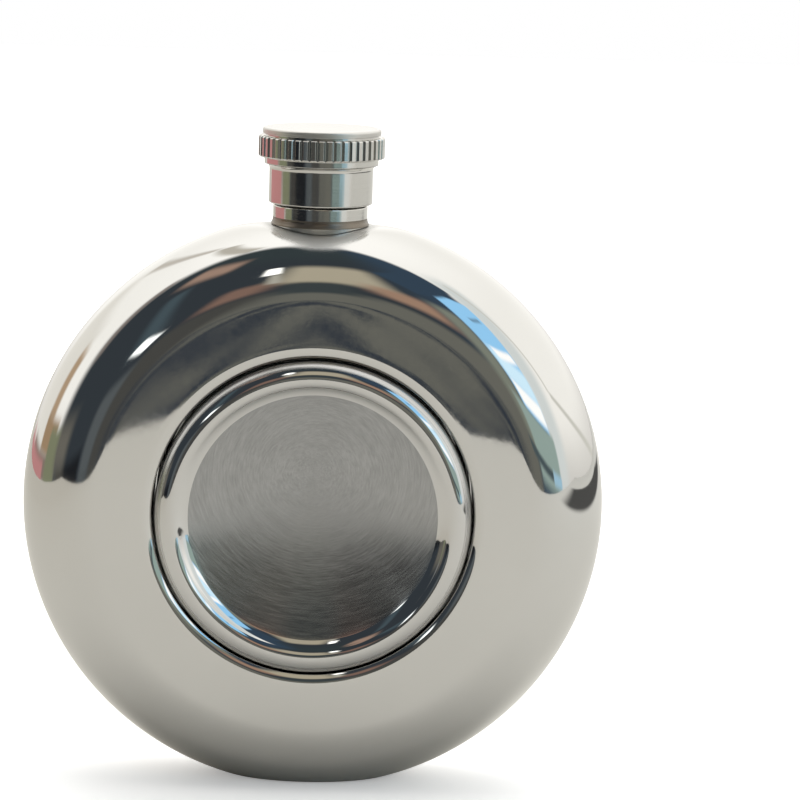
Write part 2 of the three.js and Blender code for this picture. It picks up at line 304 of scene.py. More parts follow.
def thread_rise(turns, height, middle, count):
    """How far a helical ridge of that many turns stands out, from 0 to 1."""
    rise = np.zeros(np.broadcast(turns, height).shape)
    for whole in range(int(count) + 1):
        travelled = turns / (2 * math.pi) + whole
        fade = np.clip(np.minimum(travelled, count - travelled) / THREAD_RUN_OUT, 0, 1)
        offset = np.abs(height - middle - travelled * THREAD_PITCH)
        flank = np.clip((THREAD_BASE / 2 - offset) / ((THREAD_BASE - THREAD_CREST) / 2), 0, 1)
        flank = flank * flank * (3 - 2 * flank)
        rise = np.maximum(rise, fade * flank)
    return rise


# Body shells

def shell_sections():
    """Outside and inside of one shell, for the rear side, from the hole to the seam."""
    face = HALF_THICKNESS
    tilt = math.radians(LIP_TILT)
    roll_centre = HOLE_RADIUS - LIP_REACH + LIP_ROLL
    roll_depth = face - LIP_CURVE * (1 - math.cos(tilt)) - LIP_ROLL * math.cos(tilt)
    lip_centre = roll_centre + (LIP_CURVE - LIP_ROLL) * math.sin(tilt)
    roll = arc(roll_centre, roll_depth, LIP_ROLL, 180, 90 + LIP_TILT, 14)
    lip = arc(lip_centre, face - LIP_CURVE, LIP_CURVE, 90 + LIP_TILT, 90, 24)[1:]
    outside = [(HOLE_RADIUS, face - FLANGE_DEPTH), *roll, *lip]
    outside += line(outside[-1], (EDGE_CENTRE, face), 8)
    stop = math.degrees(math.asin(SEAM_WIDTH / 2 / HALF_THICKNESS))
    outside += arc(EDGE_CENTRE, 0, HALF_THICKNESS, 90, stop, 60)[1:]
    outside.append((BODY_RADIUS - SEAM_DEPTH, 0))
    inner = HALF_THICKNESS - SHELL_WALL
    inside = arc(EDGE_CENTRE, 0, inner, 0, 90, 20)
    inside += arc(HOLE_RADIUS + HOLE_FILLET, face - HOLE_FILLET, HOLE_FILLET - SHELL_WALL, 90, 180, 6)
    inside.append((HOLE_RADIUS + SHELL_WALL, face - FLANGE_DEPTH))
    return outside, inside


def body_shell(name, side, material):
    outside, inside = (
        [(radius, side * along) for radius, along in section] for section in shell_sections()
    )
    outer = body_points(outside, BODY_SIDES)
    inner = body_points(inside, BODY_SIDES)
    outer[..., 2] = between_flats(outer[..., 2], 0)
    inner[..., 2] = between_flats(inner[..., 2], SHELL_WALL)
    shell = grid_object(name, np.concatenate([outer, inner]), closed=True)
    turns = np.linspace(0, 2 * math.pi, HOLE_SIDES, endpoint=False)
    low, high = CENTRE_Z + EDGE_CENTRE, SEAT_Z + 2
    heights = np.array([[low], [low], [high], [high]]) + 0 * turns
    radii = np.array([[0.0], [NECK_HOLE], [NECK_HOLE], [0.0]]) + 0 * turns
    cut(shell, grid_object("neck_cutter", upright_points(radii, heights, turns), False))
    return finish_piece(shell, "flask", [name], [material])


# Well

def well_tube(material):
    end = tube_high.y
    section = rounded([(HOLE_RADIUS, -end, EDGE_ROUND), (WELL_OUTER, -end, EDGE_ROUND),
                       (WELL_OUTER, end, EDGE_ROUND), (HOLE_RADIUS, end, EDGE_ROUND)])
    tube = grid_object("well_tube_drawn", body_points(section, CUP_SIDES), True)
    return finish_piece(tube, "flask", ["well_tube"], [material])


def stop_ring(material):
    outer = stop_high.x
    inner = outer - STOP_RING_WIDTH
    section = rounded([(inner, stop_low.y, STOP_RING_ROUND), (outer, stop_low.y, EDGE_ROUND),
                       (outer, stop_high.y, EDGE_ROUND), (inner, stop_high.y, STOP_RING_ROUND)])
    ring = grid_object("well_stop_turned", body_points(section, CUP_SIDES), True)
    return finish_piece(ring, "flask", ["well_stop_ring"], [material])


# Cup

def dished(edge, level, steps):
    """A dished face, from its middle out to its edge."""
    shares = np.linspace(0, 1, steps)
    return [(edge * share, level + DISC_DISH * (1 - share * share)) for share in shares]


def hollow_slope(start, end, steep, steps):
    """Points after start up to end on a hollow curve that is steep, in radians, at its end."""
    fall = math.atan2(start[1] - end[1], end[0] - start[0])
    flat = 2 * fall - steep
    bend = math.dist(start, end) / (2 * math.sin((steep - flat) / 2))
    turns = np.linspace(flat, steep, steps + 1)[1:]
    return [(start[0] + bend * (math.sin(t) - math.sin(flat)),
             start[1] - bend * (math.cos(flat) - math.cos(t))) for t in turns]


def bead_side(inset, level, steps):
    """One side of the foot's section: the dished disc, the hollow slope and the bead, out to the foot's
    edge. Inset is how far it lies under the outer face."""
    crest = CUP_RADIUS - BEAD_WIDTH
    size = BEAD_WIDTH - inset
    mean = math.radians(BEAD_FALL)
    edge = crest - size * math.sin(mean)
    edge -= (level - CUP_FRONT - BEAD_WIDTH + size * math.cos(mean)) / math.tan(mean)
    disc = dished(edge, level, steps // 2)
    inner = arc(crest, CUP_FRONT + BEAD_INNER, BEAD_INNER - inset, 270 - BEAD_STEEP, 270, steps // 2)
    slope = hollow_slope(disc[-1], inner[0], math.radians(BEAD_STEEP), steps // 4)
    return disc, slope + inner[1:] + arc(crest, CUP_FRONT + BEAD_WIDTH, size, 270, 360, steps)[1:]


def cup_foot(polished, brushed, satin):
    back = foot_high.y
    level = CUP_FRONT + DISC_DEPTH
    disc, bead = bead_side(0, level, 56)
    inner_disc, inner_bead = bead_side(CUP_WALL, level + CUP_WALL, 28)
    skirt = arc(CUP_RADIUS - EDGE_ROUND, back - EDGE_ROUND, EDGE_ROUND, 0, 90, 4)
    section = disc + bead + skirt + [(CUP_RADIUS - CUP_WALL, back)] + (inner_disc + inner_bead)[::-1]
    foot = grid_object("cup_foot_stamped", body_points(section, CUP_SIDES), False)
    finish_piece(foot, "cup_base", ["cup_foot"], [polished, brushed, satin], 25)
    edge = disc[-1][0]
    flank = CUP_RADIUS - BEAD_WIDTH * (1 - math.sin(math.radians(BEAD_POLISHED)))
    for face in foot.data.polygons:
        away = math.hypot(face.center.x, face.center.z - CENTRE_Z * MM) / MM
        faces_front = face.normal.y < -0.9
        if away < edge and faces_front:
            face.material_index = 1
        elif away > flank:
            face.material_index = 2
    return foot


def cup_ring(node, body, material, lip=False, floor=False):
    low, high = corners_of(node)
    front, back = low.y, high.y
    wide = high.x - (CUP_WALL if lip else 0)
    narrow = wide - RING_TAPER
    inside = CUP_WALL
    if lip:
        section = rounded([(narrow - inside, front, EDGE_ROUND), (narrow, front, EDGE_ROUND)] +
                          [(r, y, 0) for r, y in arc(wide, back - CUP_WALL, CUP_WALL, -60, 180, 24)])
    elif floor:
        corner = CUP_FLOOR_ROUND
        section = dished(narrow - corner, front, 16)
        section += arc(narrow - corner, front + corner, corner, -90, 0, 6)[1:]
        section += [(wide, back - EDGE_ROUND), (wide - RING_BEVEL, back)]
        section += [(wide - inside + RING_BEVEL, back)]
        section += [(wide - inside, back - EDGE_ROUND), (narrow - inside, front + inside + corner)]
        section += dished(narrow - inside - corner, front + inside, 16)[::-1]
    else:
        section = rounded([(narrow - inside, front, EDGE_ROUND), (narrow, front, EDGE_ROUND),
                           (wide, back, EDGE_ROUND), (wide - inside, back, EDGE_ROUND)])
    ring = grid_object(node + "_drawn", body_points(section, CUP_SIDES), not floor)
    return finish_piece(ring, body, [node], [material], 30)


# Neck

def neck_rows(turns):
    """Radius and height of every row of the neck, from inside the body over the lip and down the bore,
    as two arrays of rows by turns."""
    flare_bottom = SEAT_Z + FIXED_GAP
    flare_top = flare_bottom + FLARE_THICKNESS
    collar_top = SEAT_Z + COLLAR_HEIGHT
    thread_start = collar_top + NECK_RELIEF
    thread_end = thread_start + NECK_TURNS * THREAD_PITCH + THREAD_BASE
    ones = np.ones_like(turns)
    rows = []

    def ring(radius, height):
        rows.append((radius * ones, height * ones))

    def turned(section):
        for radius, height in section:
            ring(radius, height)

    reach = FLARE_RADIUS - COLLAR_RADIUS
    widest = FLARE_RADIUS - FLARE_ROUND
    ring(NECK_TUBE - NECK_BEVEL, neck_low.z)
    ring(NECK_TUBE, neck_low.z + NECK_BEVEL)
    inner = body_top(NECK_TUBE * np.cos(turns), NECK_TUBE * np.sin(turns)) + FIXED_GAP
    rows.append((NECK_TUBE * ones, np.minimum(inner, flare_bottom)))
    edge, edge_height = foot_edge(turns, widest, flare_bottom)
    for share in (0, 0.5, 0.95):
        rows.append((edge + (widest - edge) * share, edge_height + (flare_bottom - edge_height) * share))
    turned(arc(widest, flare_bottom + FLARE_ROUND, FLARE_ROUND, -90, 0, 4))
    turned(arc(widest, flare_top - FLARE_ROUND, FLARE_ROUND, 0, 30, 3))
    sweep = 2 * math.atan(reach / FLARE_COVE)
    bend = FLARE_COVE / math.sin(sweep)
    for turn in np.linspace(sweep * 0.97, 0, 12):
        ring(COLLAR_RADIUS + bend * (1 - math.cos(turn)), flare_top + FLARE_COVE - bend * math.sin(turn))
    ring(COLLAR_RADIUS, flare_top + FLARE_COVE + EDGE_HOLD)
    ring(COLLAR_RADIUS, collar_top - COLLAR_ROUND - EDGE_HOLD)
    turned(arc(COLLAR_RADIUS - COLLAR_ROUND, collar_top - COLLAR_ROUND, COLLAR_ROUND, 0, 90, 6))
    turned(arc(NECK_TUBE + RELIEF_ROUND, collar_top + RELIEF_ROUND, RELIEF_ROUND, 270, 180, 4))
    for height in np.arange(thread_start - 0.1, thread_end + 0.1, NECK_THREAD_ROW):
        rise = thread_rise(turns, height, thread_start + THREAD_BASE / 2, NECK_TURNS)
        rows.append((NECK_TUBE + THREAD_DEPTH * rise, height * ones))
    ring(NECK_TUBE, neck_high.z - 0.35)
    rim = (NECK_TUBE - NECK_BORE) / 2
    for turn in np.radians(np.linspace(0, 180, 13)):
        ring(NECK_BORE + rim + rim * math.cos(turn), neck_high.z - rim + rim * math.sin(turn))
    for height in np.linspace(neck_high.z - 1, neck_low.z + NECK_BEVEL, 6):
        ring(NECK_BORE, height)
    ring(NECK_BORE + NECK_BEVEL, neck_low.z)
    return np.array([row[0] for row in rows]), np.array([row[1] for row in rows])


def neck(polished, dark_cove):
    turns = np.linspace(0, 2 * math.pi, NECK_SIDES, endpoint=False)
    radius, height = neck_rows(turns)
    piece = grid_object("neck_turned", upright_points(radius, height, turns), True)
    finish_piece(piece, "flask", ["neck"], [polished, dark_cove], 50)
    # Faces on the cove under the collar take the second material, a darker brown steel.
    foot_bottom = SEAT_Z + FIXED_GAP
    foot_top = foot_bottom + FLARE_THICKNESS + FLARE_COVE
    for face in piece.data.polygons:
        away = math.hypot(face.center.x, face.center.y)
        on_cove = foot_bottom * MM < face.center.z < foot_top * MM
        face.material_index = 1 if on_cove and away > (NECK_TUBE + 0.1) * MM else 0
    return piece


# Cap

def tooth_turns():
    """Turns round the knurl, twelve to a tooth, with how far out each one is, from 0 to 1."""
    half_shares = np.array([0.2, 0.235, 0.265, 0.375, 0.41])
    half_rises = np.array([1, 1, 0.93, 0.07, 0])
    shares = np.concatenate([[-0.5], -half_shares[::-1], [0], half_shares])
    rises = np.concatenate([[0], half_rises[::-1], [1], half_rises])
    numbers = np.arange(KNURL_TEETH)[:, None]
    turns = ((numbers + shares) * 2 * math.pi / KNURL_TEETH).ravel()
    return turns, np.tile(rises, KNURL_TEETH)


def cap_rows(turns, teeth):
    """Radius and height of every row of the cap, from the skirt's end over the top and down the thread,
    as two arrays of rows by turns."""
    ones = np.ones_like(turns)
    bottom, top = cap_low.z, cap_high.z
    groove_top = top - CAP_TOP_HEIGHT
    knurl_top = groove_top - GROOVE_HEIGHT
    knurl_bottom = knurl_top - KNURL_HEIGHT
    lip_bottom = knurl_bottom - LIP_HEIGHT
    skirt_top = lip_bottom - SKIRT_COVE
    rows = []

    def ring(radius, height):
        rows.append((radius * ones, height * ones))

    def turned(radius, along, size, start, end, steps):
        for r, h in arc(radius, along, size, start, end, steps):
            ring(r, h)

    turned(SKIRT_RADIUS - SKIRT_ROUND, bottom + SKIRT_ROUND, SKIRT_ROUND, -90, 0, 6)
    ring(SKIRT_RADIUS, bottom + SKIRT_ROUND + EDGE_HOLD)
    ring(SKIRT_RADIUS, skirt_top - EDGE_HOLD)
    lip_reach = LIP_RADIUS - SKIRT_RADIUS
    for turn in np.radians(np.linspace(180, 90, 9)):
        ring(LIP_RADIUS + lip_reach * math.cos(turn), skirt_top + SKIRT_COVE * math.sin(turn))
    turned(LIP_RADIUS - CAP_LIP_ROUND, lip_bottom + CAP_LIP_ROUND, CAP_LIP_ROUND, -90, 0, 4)
    ring(LIP_RADIUS, lip_bottom + CAP_LIP_ROUND + EDGE_HOLD)
    ring(LIP_RADIUS, knurl_bottom - KNURL_COVE - EDGE_HOLD)
    turned(LIP_RADIUS + KNURL_COVE, knurl_bottom - KNURL_COVE, KNURL_COVE, 180, 90, 3)
    # A tooth's rounded end: how far out it is, and how far from the end
    ends = ((0, 0), (0.35, 0.02), (0.75, 0.1), (0.93, 0.2), (1, KNURL_END))
    for share, lift in ends:
        root = LIP_RADIUS + 0.25 + (KNURL_ROOT - LIP_RADIUS - 0.25) * min(1, share * 1.3)
        rows.append((root + (KNURL_CREST - KNURL_ROOT) * teeth * share, (knurl_bottom + lift) * ones))
    for share in (0.02, 0.5, 0.98):
        height = knurl_bottom + KNURL_END + (KNURL_HEIGHT - 2 * KNURL_END) * share
        rows.append((KNURL_ROOT + (KNURL_CREST - KNURL_ROOT) * teeth, height * ones))
    for share, lift in ends[::-1]:
        root = GROOVE_RADIUS + 0.35 + (KNURL_ROOT - GROOVE_RADIUS - 0.35) * min(1, share * 1.3)
        rows.append((root + (KNURL_CREST - KNURL_ROOT) * teeth * share, (knurl_top - lift) * ones))
    ring(GROOVE_RADIUS, knurl_top)
    ring(GROOVE_RADIUS, groove_top)
    turned(CAP_TOP_RADIUS - CAP_TOP_UNDER, groove_top + CAP_TOP_UNDER, CAP_TOP_UNDER, -90, 0, 3)
    ring(CAP_TOP_RADIUS, groove_top + CAP_TOP_UNDER + EDGE_HOLD)
    ring(CAP_TOP_RADIUS, top - CAP_TOP_ROUND - EDGE_HOLD)
    turned(CAP_TOP_RADIUS - CAP_TOP_ROUND, top - CAP_TOP_ROUND, CAP_TOP_ROUND, 0, 90, 8)
    for radius in (CAP_TOP_RADIUS - CAP_TOP_ROUND - EDGE_HOLD, 8, 6, 4, 2, 0):
        ring(radius, top)
    for radius in (0, 4, CAP_BORE - CROWN_ROUND):
        ring(radius, CROWN_BOTTOM)
    turned(CAP_BORE - CROWN_ROUND, CROWN_BOTTOM - CROWN_ROUND, CROWN_ROUND, 90, 0, 4)
    first = SEAT_Z + COLLAR_HEIGHT + NECK_RELIEF + (THREAD_BASE - THREAD_PITCH) / 2
    last = first + CAP_TURNS * THREAD_PITCH
    for height in np.arange(last + 0.6, first - 0.6, -CAP_THREAD_ROW):
        rise = thread_rise(turns % (2 * math.pi), height, first, CAP_TURNS)
        rows.append((CAP_BORE - (CAP_BORE - CAP_RIDGE) * rise, height * ones))
    ring(CAP_BORE, bottom + CAP_BEVEL)
    ring(CAP_BORE + CAP_BEVEL, bottom)
    return np.array([row[0] for row in rows]), np.array([row[1] for row in rows])


def cap(polished, satin):
    turns, teeth = tooth_turns()
    radius, height = cap_rows(turns, teeth)
    piece = grid_object("cap_turned", upright_points(radius, height, turns), True)
    finish_piece(piece, "cap", ["cap"], [polished, satin], 50)
    groove_top = cap_high.z - CAP_TOP_HEIGHT
    for face in piece.data.polygons:
        face.material_index = 1 if face.center.z > groove_top * MM and abs(face.normal.z) < 0.95 else 0
    return piece


def cap_seal(material):
    turns = np.linspace(0, 2 * math.pi, NECK_SIDES, endpoint=False)
    low, high = gasket_low.z, gasket_high.z
    section = [(0, low), (SEAL_RADIUS - 1.6, low)]
    section += [(SEAL_RADIUS - 1.4, low + SEAL_STEP), (SEAL_RADIUS - 0.5, low + SEAL_STEP)]
    section += arc(SEAL_RADIUS - SEAL_ROUND, low + SEAL_ROUND, SEAL_ROUND, -90, 0, 5)
    section += arc(SEAL_RADIUS - SEAL_ROUND, high - SEAL_ROUND, SEAL_ROUND, 0, 90, 5)
    section.append((0, high))
    section = np.array(section)
    radius = section[:, :1] + 0 * turns
    height = section[:, 1:] + 0 * turns
    piece = grid_object("cap_seal_moulded", upright_points(radius, height, turns), False)
    return finish_piece(piece, "cap_seal", ["cap_gasket"], [material], 50)


# Materials

NOISE = (0.3, 0.7)  # range that holds most of a noise's values


class Nodes:
    """A node tree with short calls for the nodes used here."""

    def __init__(self, tree):
        self.tree = tree
        tree.nodes.clear()

    def add(self, kind, **settings):
        node = self.tree.nodes.new(kind)
        for name, value in settings.items():
            setattr(node, name, value)
        return node

    def join(self, value, socket):
        if isinstance(value, bpy.types.NodeSocket):
            self.tree.links.new(value, socket)
        else:
            socket.default_value = value

    def math(self, operation, *values, clamp=False):
        node = self.add("ShaderNodeMath", operation=operation, use_clamp=clamp)
        for value, socket in zip(values, node.inputs):
            self.join(value, socket)
        return node.outputs[0]

    def remap(self, value, from_low, from_high, to_low, to_high, smooth_step=False):
        node = self.add("ShaderNodeMapRange")
        node.interpolation_type = "SMOOTHSTEP" if smooth_step else "LINEAR"
        for number, item in zip((0, 1, 2, 3, 4), (value, from_low, from_high, to_low, to_high)):
            self.join(item, node.inputs[number])
        return node.outputs[0]

    def mix(self, share, first, second):
        node = self.add("ShaderNodeMix", data_type="RGBA")
        for number, item in ((0, share), (6, first), (7, second)):
            self.join(item, node.inputs[number])
        return node.outputs[2]

    def noise(self, vector, scale, detail=2.0, roughness=0.5):
        node = self.add("ShaderNodeTexNoise")
        self.join(vector, node.inputs["Vector"])
        self.join(scale, node.inputs["Scale"])
        self.join(detail, node.inputs["Detail"])
        self.join(roughness, node.inputs["Roughness"])
        return node.outputs[0]

    def vector(self, x, y, z):
        node = self.add("ShaderNodeCombineXYZ")
        for value, socket in zip((x, y, z), node.inputs):
            self.join(value, socket)
        return node.outputs[0]

    def parts(self, vector):
        node = self.add("ShaderNodeSeparateXYZ")
        self.join(vector, node.inputs[0])
        return node.outputs

    def distance(self, first, second):
        """Length of the hypotenuse over two distances."""
        squares = (self.math("MULTIPLY", value, value) for value in (first, second))
        return self.math("SQRT", self.math("ADD", *squares))

    def bump(self, height, strength, distance, normal=None):
        node = self.add("ShaderNodeBump")
        self.join(strength, node.inputs["Strength"])
        self.join(distance, node.inputs["Distance"])
        self.join(height, node.inputs["Height"])
        if normal is not None:
            self.join(normal, node.inputs["Normal"])
        return node.outputs[0]


def new_material(name):
    material = bpy.data.materials.new(name)
    material.use_nodes = True
    nodes = Nodes(material.node_tree)
    shader = nodes.add("ShaderNodeBsdfPrincipled")
    out = nodes.add("ShaderNodeOutputMaterial")
    nodes.join(shader.outputs[0], out.inputs[0])
    place = nodes.add("ShaderNodeTexCoord").outputs["Object"]
    return material, nodes, shader, place


def new_steel(name):
    material, nodes, shader, place = new_material(name)
    shader.inputs["Metallic"].default_value = 1.0
    return material, nodes, shader, place


def shade(nodes, shader, share, colour, darkest):
    """Base colour from a share of the colour, where the share is 0, to the full colour."""
    dark = tuple(part * darkest for part in colour) + (1,)
    nodes.join(nodes.mix(share, dark, colour + (1,)), shader.inputs["Base Color"])


def near_neck(nodes, place):
    """How near the neck's foot a place on the body is, from 0 to 1."""
    x, y, z = nodes.parts(place)
    softest = (FLARE_RADIUS + 0.3) * MM
    polished = (FLARE_RADIUS + SOFT_REACH) * MM
    beside = nodes.remap(nodes.distance(x, y), softest, polished, 1, 0, True)
    above = nodes.remap(z, (SEAT_Z - 12) * MM, (SEAT_Z - 6) * MM, 0, 1)
    return nodes.math("MULTIPLY", beside, above)


def polished_steel(name, colour, roughness, waviness=1.0, soft_at_neck=0.0):
    """Mirror-polished steel with faint smudges, a slow waviness and hairline polishing marks.

    Soft_at_neck is added to the roughness where the weld at the neck's foot was ground."""
    material, nodes, shader, place = new_steel(name)
    smudge = nodes.noise(place, scale=45.0, detail=4.0, roughness=0.6)
    grain = nodes.noise(place, scale=900.0)
    shade(nodes, shader, nodes.remap(smudge, *NOISE, 0.0, 1.0), colour, 0.965)
    rough = nodes.remap(smudge, 0.35, 0.7, roughness * 0.75, roughness * 1.35)
    fine = nodes.remap(grain, *NOISE, -0.006, 0.006)
    rough = nodes.math("ADD", rough, fine)
    if soft_at_neck:
        rough = nodes.math("MULTIPLY_ADD", near_neck(nodes, place), soft_at_neck, rough)
    nodes.join(rough, shader.inputs["Roughness"])
    wave = nodes.noise(place, scale=38.0, detail=1.0)
    slow = nodes.bump(wave, strength=0.5 * waviness, distance=0.00006)
    nodes.join(nodes.bump(grain, strength=0.06, distance=0.00001, normal=slow), shader.inputs["Normal"])
    return material


def drawn_steel(name, colour, roughness):
    """Plain drawn steel with fine lines round the body's axis."""
    material, nodes, shader, place = new_steel(name)
    stretch = (25.0, 6000.0, 25.0)
    stretched = (nodes.math("MULTIPLY", part, scale) for part, scale in zip(nodes.parts(place), stretch))
    lines = nodes.noise(nodes.vector(*stretched), scale=1.0, detail=3.0)
    shade(nodes, shader, nodes.remap(lines, *NOISE, 0, 1), colour, 0.85)
    nodes.join(nodes.remap(lines, *NOISE, roughness * 0.8, roughness * 1.2), shader.inputs["Roughness"])
    nodes.join(nodes.bump(lines, strength=0.15, distance=0.00002), shader.inputs["Normal"])
    return material


def turned_steel(name, colour, roughness):
    """Polished turned steel with faint tool lines round the upright axis."""
    material, nodes, shader, place = new_steel(name)
    x, y, z = nodes.parts(place)
    lines_per_metre = 5200.0
    path = nodes.vector(nodes.math("MULTIPLY", nodes.distance(x, y), lines_per_metre),
                        nodes.math("MULTIPLY", z, lines_per_metre),
                        nodes.math("MULTIPLY", nodes.math("ARCTAN2", y, x), 0.7))
    lines = nodes.noise(path, scale=1.0)
    smudge = nodes.noise(place, scale=130.0, detail=3.0)
    shade(nodes, shader, nodes.remap(smudge, *NOISE, 0, 1), colour, 0.93)
    nodes.join(nodes.remap(lines, *NOISE, roughness * 0.7, roughness * 1.4), shader.inputs["Roughness"])
    nodes.join(nodes.bump(lines, strength=0.12, distance=0.00001), shader.inputs["Normal"])
    return material


def brushed_disc(name, colour):
    """Steel with circular brush marks round a point above the middle of the cup's foot."""
    material, nodes, shader, place = new_steel(name)
    x, _, z = nodes.parts(place)
    z = nodes.math("SUBTRACT", z, (CENTRE_Z + BRUSH_RISE) * MM)
    out = nodes.distance(x, z)
    turn = nodes.math("ARCTAN2", x, z)
    cosine = nodes.math("COSINE", turn)
    sine = nodes.math("SINE", turn)

    def arcs(per_metre, per_turn, detail):
        place_on_arc = nodes.vector(nodes.math("MULTIPLY", out, per_metre),
                                    nodes.math("MULTIPLY", cosine, per_turn),
                                    nodes.math("MULTIPLY", sine, per_turn))
        return nodes.noise(place_on_arc, scale=1.0, detail=detail, roughness=0.6)

    fine = arcs(per_metre=3400.0, per_turn=6.0, detail=3.0)
    broad = arcs(per_metre=500.0, per_turn=1.5, detail=2.0)
    marks = nodes.math("ADD", nodes.math("MULTIPLY", fine, 0.7), nodes.math("MULTIPLY", broad, 0.3))
    marked = (0.35, 0.65)
    shade(nodes, shader, nodes.remap(marks, *marked, 0, 1), colour, 0.76)
    nodes.join(nodes.remap(marks, *marked, 0.13, 0.18), shader.inputs["Roughness"])
    shader.inputs["Anisotropic"].default_value = 0.9
    # The marks spread light away from the middle of their circles.
    spread = nodes.add("ShaderNodeVectorTransform", vector_type="VECTOR",
                       convert_from="OBJECT", convert_to="WORLD")
    nodes.join(nodes.vector(nodes.math("ADD", x, 1e-7), 0.0, z), spread.inputs[0])
    nodes.join(spread.outputs[0], shader.inputs["Tangent"])
    nodes.join(nodes.bump(marks, strength=0.17, distance=0.00003), shader.inputs["Normal"])
    return material


def silicone(name, colour):
    """Matte silicone with a faint cloudiness and a fine grain."""
    material, nodes, shader, place = new_material(name)
    cloud = nodes.noise(place, scale=300.0, detail=3.0)
    shade(nodes, shader, cloud, colour, 0.92)
    nodes.join(nodes.remap(cloud, *NOISE, 0.5, 0.65), shader.inputs["Roughness"])
    grain = nodes.noise(place, scale=2500.0)
    nodes.join(nodes.bump(grain, strength=0.2, distance=0.00002), shader.inputs["Normal"])
    return material


# Stage

FLOOR_FRONT = -0.36
# The part of its front edge that reaches further forward
FLOOR_TONGUE = ((-0.07, -0.362), (-0.03, -0.44), (0.03, -0.425), (0.07, -0.368))
FLOOR_BACK = 2.2
FLOOR_LEFT = -0.6
FLOOR_RIGHT = 1.6
FLOOR_SEEN = (0.96, 0.96, 0.96, 1)
FLOOR_GLOW = 0.3  # towards the camera alone, for a white background
MIRRORED_LEFT = (0.6, 0.575, 0.525, 1)
MIRRORED_RIGHT = (0.75, 0.745, 0.72, 1)
STRIP_MIDDLE = (0.56, 0.18)
STRIP_COLOUR = (0.09, 0.09, 0.09, 1)
WHITE = (1, 1, 1, 1)


def floor():
    """Pale table. What the steel mirrors of it is dimmer on the left, with a dark strip on the right."""
    mesh = bpy.data.meshes.new("floor")
    outline = [(FLOOR_LEFT, FLOOR_FRONT), *FLOOR_TONGUE, (FLOOR_RIGHT, FLOOR_FRONT),
               (FLOOR_RIGHT, FLOOR_BACK), (FLOOR_LEFT, FLOOR_BACK)]
    mesh.from_pydata([(x, y, 0) for x, y in outline], [], [tuple(range(len(outline)))])
    thing = bpy.data.objects.new("floor", mesh)
    bpy.context.scene.collection.objects.link(thing)
    material = bpy.data.materials.new("pale_table")
    material.use_nodes = True
    nodes = Nodes(material.node_tree)
    x, y, _ = nodes.parts(nodes.add("ShaderNodeTexCoord").outputs["Object"])
    mirrored = nodes.mix(nodes.remap(x, -0.35, 0.35, 0, 1), MIRRORED_LEFT, MIRRORED_RIGHT)
    across = nodes.math("ABSOLUTE", nodes.math("SUBTRACT", x, STRIP_MIDDLE[0]))
    along = nodes.math("ABSOLUTE", nodes.math("SUBTRACT", y, STRIP_MIDDLE[1]))
    strip = nodes.math("MULTIPLY", nodes.remap(across, 0.16, 0.22, 1, 0, True),
                       nodes.remap(along, 0.35, 0.5, 1, 0, True))
    mirrored = nodes.mix(strip, mirrored, STRIP_COLOUR)
    seen = nodes.add("ShaderNodeLightPath").outputs["Is Camera Ray"]
    matte = nodes.add("ShaderNodeBsdfDiffuse")
    nodes.join(nodes.mix(seen, mirrored, FLOOR_SEEN), matte.inputs["Color"])
    glow = nodes.add("ShaderNodeEmission")
    nodes.join(nodes.math("MULTIPLY", seen, FLOOR_GLOW), glow.inputs["Strength"])
    both = nodes.add("ShaderNodeAddShader")
    nodes.join(matte.outputs[0], both.inputs[0])
    nodes.join(glow.outputs[0], both.inputs[1])
    out = nodes.add("ShaderNodeOutputMaterial")
    nodes.join(both.outputs[0], out.inputs[0])
    mesh.materials.append(material)


# The room that the steel mirrors, by direction: degrees to the right of straight ahead of the front
# and degrees above the horizon.

PAPER_HIGH = (1.55, 1.53, 1.49, 1)
PAPER = (1.36, 1.34, 1.29, 1)
PAPER_LOW = (0.92, 0.9, 0.86, 1)
DIM_LEFT = (0.048, 0.059, 0.071, 1)
DIM_HIGH = (0.051, 0.068, 0.075, 1)
DIM_RIGHT = (0.053, 0.088, 0.136, 1)
DIM_CENTRE = -14.5
DIM_HALF_WIDTH = 63.0
DIM_REACH = 77.0
DIM_SQUARENESS = 4.0
FOLD_DARK = (0.045, 0.056, 0.075, 1)

# Direction, half width, half height, softness, tilt and colour of each patch
PAPER_PATCHES = (
    ((57, 24), 9, 30, 6, 0, (0.96, 1.02, 1.02, 1)),  # greyer beside the window
    ((-125, 14), 22, 16, 6, 0, (1.1, 1.07, 1.0, 1)),  # and low on the left
    ((66, 35), 0.9, 19, 0.8, 26.9, (0.88, 0.87, 0.8, 1)),  # right edge of a sheet
    ((108, 6), 1.0, 35, 0.8, 70.7, (0.88, 0.87, 0.8, 1)),
    ((-133, 46), 2.5, 20, 2.0, -40.2, (0.8, 0.75, 0.68, 1)),  # left edge of a sheet
    ((-92, 68.5), 3.2, 27, 2.0, -82.0, (0.72, 0.68, 0.6, 1)),
    ((-104, 15), 6, 9, 3, 0, (0.62, 0.45, 0.3, 1)),  # beige panel
    ((-97, 3.5), 14, 4.5, 2, 0, (0.49, 0.34, 0.21, 1)),  # brown things in front of it
    ((-108, -3.5), 24, 3, 1.5, 0, (0.33, 0.26, 0.22, 1)),
    ((-122, -6), 23, 4, 1.5, 0, (0.7, 0.33, 0.33, 1)),
)
